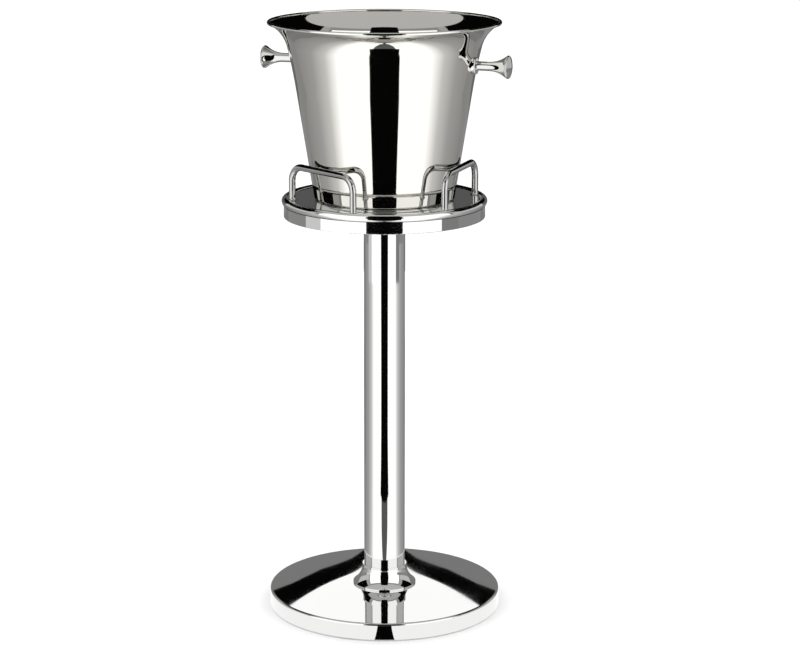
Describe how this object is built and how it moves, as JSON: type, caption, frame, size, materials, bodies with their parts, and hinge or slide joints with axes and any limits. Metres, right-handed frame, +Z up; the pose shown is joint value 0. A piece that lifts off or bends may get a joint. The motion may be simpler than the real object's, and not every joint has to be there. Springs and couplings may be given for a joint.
{
  "type": "champagne bucket stand",
  "caption": "Mirror-polished steel champagne bucket with side knobs, lifting out of a tray with guard loops on a column and weighted round base.",
  "frame": {"origin": "on the floor, under the middle of the base", "axes": "+Z up along the column; the bucket's two knobs lie along X"},
  "size_m": [0.313, 0.283, 0.72],
  "materials": {
    "polished_steel": "mirror polished",
    "plain_steel": "zinc plated",
    "cast_iron": "rough cast",
    "black_rubber": "matt",
    "white_nylon": "matt"
  },
  "bodies": {
    "stand": {"rubber_feet": "black_rubber", "cover_screws": "plain_steel", "base_cover": "plain_steel", "base_weight": "cast_iron", "base_shell": "polished_steel", "base_collar": "polished_steel", "column_foot_plug": "white_nylon", "column_tube": "polished_steel", "tie_rod": "plain_steel", "tie_rod_washer": "plain_steel", "tie_rod_spring_washer": "plain_steel", "tie_rod_nut": "plain_steel", "tray_hub": "polished_steel", "tray_plate": "polished_steel", "tray_rim_ring": "polished_steel", "tray_skirt": "polished_steel", "guard_loop_right": "polished_steel", "guard_loop_rear": "polished_steel", "guard_loop_left": "polished_steel"},
    "bucket": {"bucket_shell": "polished_steel", "knob_right": "polished_steel", "knob_collar_right": "polished_steel", "knob_left": "polished_steel", "knob_collar_left": "polished_steel", "knob_screws": "plain_steel", "knob_seals": "black_rubber"}
  },
  "joints": [
    {"name": "bucket_lift", "type": "slide", "parent": "stand", "child": "bucket", "axis": [0, 0, 1], "range_m": [0, 0.2]}
  ]
}
